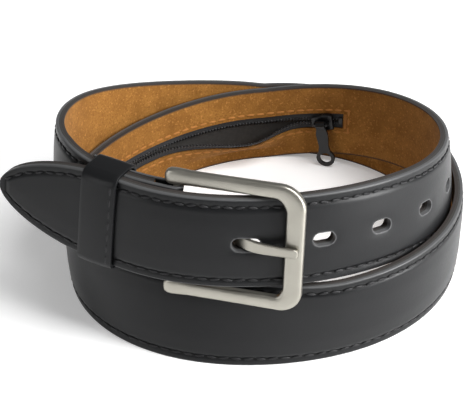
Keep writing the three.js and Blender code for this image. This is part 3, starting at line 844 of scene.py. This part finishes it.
def window_rows():
    bm = bmesh.new()
    count = int((ZIP_TO - ZIP_FROM + 5 * MM) / STITCH_PITCH)
    for number in range(count):
        distance = ZIP_FROM - 2 * MM + STITCH_PITCH * number
        for sign in (1, -1):
            add_stitch(bm, (distance, sign * WINDOW_ROW, WINDOW_TOP), 0)
    for distance in (ZIP_FROM - WINDOW_ENDS, ZIP_TO + WINDOW_ENDS):
        for number in range(-1, 2):
            add_stitch(bm, (distance, number * STITCH_PITCH, WINDOW_TOP), math.pi / 2)
    return bm


def tack(distance):
    bm = bmesh.new()
    for number in range(-7, 8):
        add_bead(bm, (distance, number * TACK_PITCH, TACK_TOP), 0, TACK_SIZE)
    return bm


for name, stitched, node_name in (
    ("window_stitches", window_rows(), "window_thread"),
    ("bar_tack_near_slider", tack(ZIP_FROM - 1.2 * MM), "bar_tack_right"),
    ("bar_tack_far_end", tack(ZIP_TO + 1.2 * MM), "bar_tack_left"),
):
    show(name, bent(stitched, lip_point), tan_thread, "belt", [node_name])

# %% [markdown]
# ## Keeper
# The keeper is a short band of the same leather, sewn into a loop. Its section is a rectangle with
# round corners: one face whose corners are bevelled, whose outline is then drawn out into a sleeve and
# given a wall.

# %% Keeper
KEEPER_AT = -64 * MM
KEEPER_WIDE = 15 * MM
KEEPER_WALL = 1.3 * MM
KEEPER_LOW = -0.9 * MM
KEEPER_HIGH = 11.1 * MM
KEEPER_SIDE = WIDTH / 2 + 0.35 * MM
KEEPER_CORNER = 4.0 * MM
KEEPER_CROWN = 0.6 * MM
KEEPER_RINGS = 10
SHARP_EDGE = math.radians(60)


def keeper_point(x, side, out):
    """The place of a point of the keeper, which is too stiff to bend with the strap."""
    forward = strap_frame(KEEPER_AT)[1]
    return strap_point(KEEPER_AT, side, out) + forward * x


def keeper_sleeve():
    """X runs along the strap, Y across it and Z out of its face."""
    bm = bmesh.new()
    bmesh.ops.create_grid(bm, x_segments=1, y_segments=1, size=0.5)
    middle = -(KEEPER_LOW + KEEPER_HIGH) / 2
    depth = KEEPER_HIGH - KEEPER_LOW + 2 * KEEPER_WALL
    size = Matrix.Diagonal((depth, 2 * (KEEPER_SIDE + KEEPER_WALL), 1, 1))
    bmesh.ops.transform(bm, matrix=Matrix.Rotation(-math.pi / 2, 4, "Y") @ size, verts=bm.verts[:])
    bmesh.ops.translate(bm, verts=bm.verts[:], vec=(-KEEPER_WIDE / 2, 0, middle))
    bmesh.ops.bevel(bm, geom=bm.verts[:], offset=KEEPER_CORNER, offset_type="OFFSET", segments=6,
                    profile=0.5, affect="VERTICES", material=-1)
    bmesh.ops.delete(bm, geom=bm.faces[:], context="FACES_ONLY")
    edges = bm.edges[:]
    for ring in range(KEEPER_RINGS):
        drawn = bmesh.ops.extrude_edge_only(bm, edges=edges)["geom"]
        edges = [part for part in drawn if isinstance(part, bmesh.types.BMEdge)]
        moved = [part for part in drawn if isinstance(part, bmesh.types.BMVert)]
        bmesh.ops.translate(bm, verts=moved, vec=(KEEPER_WIDE / KEEPER_RINGS, 0, 0))
    bmesh.ops.recalc_face_normals(bm, faces=bm.faces[:])
    bmesh.ops.solidify(bm, geom=bm.faces[:], thickness=KEEPER_WALL)
    bmesh.ops.recalc_face_normals(bm, faces=bm.faces[:])
    rims = [edge for edge in bm.edges if edge.calc_face_angle(0) > SHARP_EDGE]
    bmesh.ops.bevel(bm, geom=rims, offset=0.35 * MM, offset_type="OFFSET", segments=2,
                    profile=0.5, affect="EDGES", material=-1)
    for vert in bm.verts:
        if vert.co.z > -KEEPER_LOW - 0.1 * MM:
            x = 2 * vert.co.x / KEEPER_WIDE
            vert.co.z += KEEPER_CROWN * (1 - x * x)
    return bm


FAR_FROM_EDGES = 8.0


def placed(bm, place):
    """The mesh of a bmesh with each vertex moved by a function. It counts as far from every edge."""
    layers = [bm.verts.layers.float.new(name) for name in ("from_edge", "from_cut")]
    for vert in bm.verts:
        vert[layers[0]] = FAR_FROM_EDGES
        vert[layers[1]] = FAR_FROM_EDGES
        vert.co = place(*vert.co)
    return mesh_of(bm)


show("keeper_loop", placed(keeper_sleeve(), keeper_point), leather, "belt", ["keeper"])


# %% Stitches of the keeper and the turned-back end
def cross_row(x, top, half):
    """A row of stitches across the strap."""
    bm = bmesh.new()
    count = int(2 * half / STITCH_PITCH)
    for number in range(count + 1):
        add_stitch(bm, (x, (number - count / 2) * STITCH_PITCH, top), math.pi / 2)
    return bm


KEEPER_TOP = -KEEPER_LOW + KEEPER_WALL + 0.15 * MM
keeper_row = cross_row(KEEPER_WIDE / 2 - 2 * MM, KEEPER_TOP, WIDTH / 2 - 2 * MM)
show("keeper_stitches", placed(keeper_row, keeper_point), thread, "belt", ["keeper_thread"])

TURN_BACK_ROW = bar_at - TURN_BACK + 3.4 * MM
TURN_BACK_TOP = -(STRAP + FOLD_GAP + OUTER + 0.05 * MM)
turn_row = cross_row(TURN_BACK_ROW, TURN_BACK_TOP, WIDTH / 2 - 3 * MM)
show("turn_back_stitches", placed(turn_row, strap_point), thread, "belt",
     ["turnback_thread"])

# %% [markdown]
# ## Buckle
# The buckle is a cast frame with a satin finish: polished, then brushed until its reflections blur. Its
# section is a rectangle with very round corners. One ring of that shape is drawn along each arm, turned
# round the corner, where it swells into the wider end bar, and meets its partner in the middle.

# %% Satin nickel finish
nickel = Look("satin_nickel", metallic=1.0, specular_ior_level=0.5)
brushing = nickel.add("ShaderNodeMapping", {},
                      {"Vector": nickel.at(), "Scale": (300.0, 300.0, 2600.0)})["Vector"]
scratches = nickel.noise(1.0, 3.0, brushing)
cloudy = nickel.noise(90.0, 3.0)
nickel.set(
    base_color=nickel.blend(cloudy, shade(0.33, 0.315, 0.275), shade(0.44, 0.423, 0.372)),
    roughness=0.27 + scratches * 0.14 + cloudy * 0.06,
)
nickel.bump(scratches, 0.00002, 0.5)

# %% The buckle's own axes
BUCKLE_YAW = 4


def buckle_axes():
    """X runs from the hinge bar to the end bar, Y up along the hinge bar, and Z out."""
    point, forward, outward, across = strap_frame(bar_at)
    up = across.normalized()
    reach = Matrix.Rotation(math.radians(BUCKLE_YAW), 3, up) @ forward
    out = reach.cross(up).normalized()
    straight = up.cross(out).normalized()
    axes = Matrix((straight, up, out)).transposed().to_4x4()
    axes.translation = strap_point(bar_at, 0, -FOLD_RADIUS)
    return axes


BUCKLE_AXES = buckle_axes()
hinge = next(joint for joint in frame["joints"] if joint["name"] == "buckle_hinge")
print("hinge bar at", [round(value, 5) for value in BUCKLE_AXES.translation], "joint:", hinge)

# %% Buckle frame
REACH = 45.5 * MM
OPENING = 39 * MM
ARM = 5.5 * MM
END_BAR = 7 * MM
THICK = 4 * MM
CORNERS = (6.2 * MM, 7.6 * MM)
CORNER_STEPS = 14
CORNER_FLARE = 1.16
DROP = 1.6 * MM
ROLL = 1.9
SQUARENESS = 0.6
SECTION_POINTS = 28
ARM_PARTS = 8
BAR_PARTS = 6
HEEL_RINGS = ((-3.9, 0.15), (-3.7, 0.45), (-3.1, 0.85), (-2.0, 1.08), (0.0, 1.16), (3.0, 1.1), (6.0, 1.0))


def squared(value):
    """Pushes a point of a circle out towards a square."""
    return math.copysign(abs(value) ** SQUARENESS, value)


def drawn(bm, ring, step, turn=None):
    """Draws a ring of edges on: moves it, or turns it about a centre. Returns the new ring."""
    made = bmesh.ops.extrude_edge_only(bm, edges=ring)["geom"]
    verts = [part for part in made if isinstance(part, bmesh.types.BMVert)]
    if turn:
        centre, angle = turn
        bmesh.ops.rotate(bm, verts=verts, cent=centre, matrix=Matrix.Rotation(angle, 3, "Z"))
    else:
        bmesh.ops.translate(bm, verts=verts, vec=step)
    return [part for part in made if isinstance(part, bmesh.types.BMEdge)], verts


def swell(verts, width, direction):
    """Gives a ring a width, measured along a direction in the plane of the frame."""
    middle = sum((vert.co for vert in verts), Vector()) / len(verts)
    now = max((vert.co - middle).dot(direction) for vert in verts)
    for vert in verts:
        away = (vert.co - middle).dot(direction)
        vert.co += direction * away * (width / 2 / now - 1)


def buckle_half(bm, sign, corner):
    """One arm, its corner, and half of the end bar."""
    side = sign * (OPENING + ARM) / 2
    made = bmesh.ops.create_circle(bm, segments=SECTION_POINTS, radius=1)["verts"]
    reached = HEEL_RINGS[0][0] * MM
    for vert in made:
        vert.co = (reached, side + squared(vert.co.x) * ARM / 2, squared(vert.co.y) * THICK / 2)
    ring = list({edge for vert in made for edge in vert.link_edges})
    rings = [made]
    for x, full in HEEL_RINGS[1:]:
        ring, verts = drawn(bm, ring, (x * MM - reached, 0, 0))
        rings.append(verts)
        reached = x * MM
    for verts, (x, full) in zip(rings, HEEL_RINGS):
        for vert in verts:
            vert.co.y = side + (vert.co.y - side) * full
            vert.co.z *= min(full, 1)
    straight = REACH - corner
    for part in range(ARM_PARTS):
        ring, verts = drawn(bm, ring, ((straight - reached) / ARM_PARTS, 0, 0))
    centre = Vector((straight, side - sign * corner, 0))
    for step in range(1, CORNER_STEPS + 1):
        ring, verts = drawn(bm, ring, None, (centre, -sign * math.pi / 2 / CORNER_STEPS))
        share = step / CORNER_STEPS
        width = mix(ARM, END_BAR, smooth(share)) * (1 + (CORNER_FLARE - 1) * math.sin(math.pi * share))
        turned = Matrix.Rotation(-sign * math.pi / 2 * share, 3, "Z") @ Vector((0, 1, 0))
        swell(verts, width, turned)
    for part in range(BAR_PARTS):
        left = sum(vert.co.y for vert in verts) / len(verts)
        ring, verts = drawn(bm, ring, (0, -left / (BAR_PARTS - part), 0))


def buckle_shape():
    bm = bmesh.new()
    for sign, corner in zip((-1, 1), CORNERS):
        buckle_half(bm, sign, corner)
    bmesh.ops.remove_doubles(bm, verts=bm.verts[:], dist=0.02 * MM)
    bmesh.ops.holes_fill(bm, edges=bm.edges[:], sides=0)
    bmesh.ops.recalc_face_normals(bm, faces=bm.faces[:])
    turn = Matrix.Rotation(math.radians(ROLL), 4, "Z")
    bmesh.ops.transform(bm, matrix=Matrix.Translation((0, -DROP, 0)) @ turn, verts=bm.verts[:])
    return bm


buckle_flat = buckle_shape()
bmesh.ops.transform(buckle_flat, matrix=BUCKLE_AXES, verts=buckle_flat.verts[:])
show("buckle_casting", mesh_of(buckle_flat), nickel, "buckle", ["buckle_frame"])

# %% Hinge bar
BAR_RADIUS = 1.3 * MM


def hinge_bar():
    bm = bmesh.new()
    upright = Matrix.Rotation(math.pi / 2, 4, "X")
    place = BUCKLE_AXES @ Matrix.Translation((0, -DROP, 0)) @ upright
    bmesh.ops.create_cone(bm, segments=32, radius1=BAR_RADIUS, radius2=BAR_RADIUS,
                          depth=OPENING - 0.6 * MM, cap_ends=True, matrix=place)
    return bm


show("hinge_rod", mesh_of(hinge_bar()), nickel, "buckle", ["buckle_bar"])

# %% [markdown]
# ## Prong
# The prong is one casting: a sleeve that turns on the hinge bar, a shank behind the strap, and a point
# that comes up through the hole and rests on the end bar. A straight bar with many cuts is bent to the
# prong's side view, tapered towards its point, and rounded.

# %% Prong
PRONG_LINE = ((3.4, -0.6), (6, -1.2), (14, -1.3), (20, -1.25), (23.5, -0.4), (26, 1.1), (29.5, 3.0),
              (33.5, 3.85), (38, 3.85), (43, 3.6), (47.5, 3.2))
PRONG_THICK = 1.9 * MM
PRONG_WIDE = 4.5 * MM
PRONG_POINT = 3.5 * MM
PRONG_CUTS = 48
PRONG_EASE = 1.6
PRONG_NOSE = 1.4
SLEEVE = 2.8 * MM
SLEEVE_BORE = 1.6 * MM


def prong_height(x):
    """The height of the prong's middle line, read off its side view."""
    for (x0, z0), (x1, z1) in zip(PRONG_LINE, PRONG_LINE[1:]):
        if x <= x1:
            return mix(z0, z1, (x - x0) / (x1 - x0))
    return PRONG_LINE[-1][1]


def eased_height(x):
    """The same height with its corners rounded, as the mean of a short stretch of the line."""
    samples = [prong_height(x + PRONG_EASE * step / 4) for step in range(-4, 5)]
    return sum(samples) / len(samples)


def prong_shape():
    bm = bmesh.new()
    start = PRONG_LINE[0][0]
    end = PRONG_LINE[-1][0]
    bmesh.ops.create_grid(bm, x_segments=PRONG_CUTS, y_segments=6, size=1)
    for vert in bm.verts:
        x = mix(start, end, (vert.co.x + 1) / 2)
        wide = mix(PRONG_WIDE, PRONG_POINT, smooth((x - 26) / 20)) / 2
        side = math.sin(vert.co.y * math.pi / 2)
        nose = max(x - end + PRONG_NOSE, 0) / PRONG_NOSE
        vert.co = (x * MM, side * wide * math.sqrt(1 - 0.55 * nose * nose), 0)
    bmesh.ops.solidify(bm, geom=bm.faces[:], thickness=PRONG_THICK)
    middle = (max(vert.co.z for vert in bm.verts) + min(vert.co.z for vert in bm.verts)) / 2
    bmesh.ops.translate(bm, verts=bm.verts[:], vec=(0, 0, -middle))
    bmesh.ops.recalc_face_normals(bm, faces=bm.faces[:])
    rims = [edge for edge in bm.edges if edge.calc_face_angle(0) > SHARP_EDGE]
    bmesh.ops.bevel(bm, geom=rims, offset=0.55 * MM, offset_type="OFFSET", segments=3, profile=0.5,
                    affect="EDGES", material=-1)
    for vert in bm.verts:
        vert.co.z += eased_height(vert.co.x / MM) * MM
    return bm


def prong_sleeve():
    """A ring spun from a small rectangle, about the hinge bar."""
    bm = bmesh.new()
    half = PRONG_WIDE / 2
    points = ((SLEEVE_BORE, -half), (SLEEVE, -half), (SLEEVE, half), (SLEEVE_BORE, half))
    verts = [bm.verts.new((radius, side, 0)) for radius, side in points]
    edges = [bm.edges.new((verts[i], verts[(i + 1) % 4])) for i in range(4)]
    bmesh.ops.spin(bm, geom=verts + edges, cent=(0, 0, 0), axis=(0, 1, 0), angle=2 * math.pi, steps=32,
                   use_merge=True)
    bmesh.ops.remove_doubles(bm, verts=bm.verts[:], dist=0.001 * MM)
    bmesh.ops.recalc_face_normals(bm, faces=bm.faces[:])
    rims = [edge for edge in bm.edges if edge.calc_face_angle(0) > SHARP_EDGE]
    bmesh.ops.bevel(bm, geom=rims, offset=0.35 * MM, offset_type="OFFSET", segments=2, profile=0.5,
                    affect="EDGES", material=-1)
    return bm


prong_parts = prong_shape()
sleeve_mesh = mesh_of(prong_sleeve())
prong_parts.from_mesh(sleeve_mesh)
bpy.data.meshes.remove(sleeve_mesh)
bmesh.ops.transform(prong_parts, matrix=BUCKLE_AXES, verts=prong_parts.verts[:])
show("prong_casting", mesh_of(prong_parts), nickel, "prong", ["prong"])

# %% [markdown]
# ## Slider and pull
# These are small die-cast pieces, and the CAD solids already have their shapes. They only need their
# finish, which is a black enamel with fine wear.

# %% Finish of the slider and pull
for node_name in ("slider_body", "slider_bridge", "pull_tab"):
    node = frame["nodes"][node_name]
    for index in range(len(node.material_slots)):
        node.material_slots[index].link = "DATA"
        node.material_slots[index].material = enamel.material

# %% [markdown]
# ## Floor, lights and surroundings
# A pale floor and a white room keep the picture plain. Two long softboxes give black leather its shape,
# because a dark glossy surface shows only what it reflects.

# %% Floor
FLOOR_SIZE = 6.0
floor_bm = bmesh.new()
bmesh.ops.create_grid(floor_bm, x_segments=1, y_segments=1, size=FLOOR_SIZE / 2)
floor = bpy.data.objects.new("floor", mesh_of(floor_bm))
bpy.context.collection.objects.link(floor)
paper = Look("paper", base_color=shade(0.92, 0.92, 0.92), roughness=0.9, specular_ior_level=0.1,
             emission_color=shade(1, 1, 1), emission_strength=0.25)
floor.data.materials.append(paper.material)


# %% Lights
def softbox(name, place, power, width, height):
    """A rectangular lamp, aimed at the middle of the belt."""
    data = bpy.data.lights.new(name, "AREA")
    data.shape = "RECTANGLE"
    data.size = width
    data.size_y = height
    data.energy = power
    lamp = bpy.data.objects.new(name, data)
    bpy.context.collection.objects.link(lamp)
    lamp.location = place
    aim = Vector((0, 0, 0.03)) - Vector(place)
    lamp.rotation_euler = aim.to_track_quat("-Z", "Y").to_euler()


softbox("right_softbox", (0.80, -0.34, 0.32), power=13, width=0.3, height=0.6)
softbox("left_softbox", (-0.80, -0.50, 0.35), power=1.4, width=0.3, height=0.6)
softbox("top_softbox", (0.50, -0.15, 1.10), power=12, width=0.7, height=0.6)

world = bpy.data.worlds.new("white_room")
world.use_nodes = True
background = world.node_tree.nodes["Background"]
background.inputs["Color"].default_value = (1, 1, 1, 1)
background.inputs["Strength"].default_value = 0.2
bpy.context.scene.world = world
bpy.context.scene.view_settings.view_transform = "Standard"
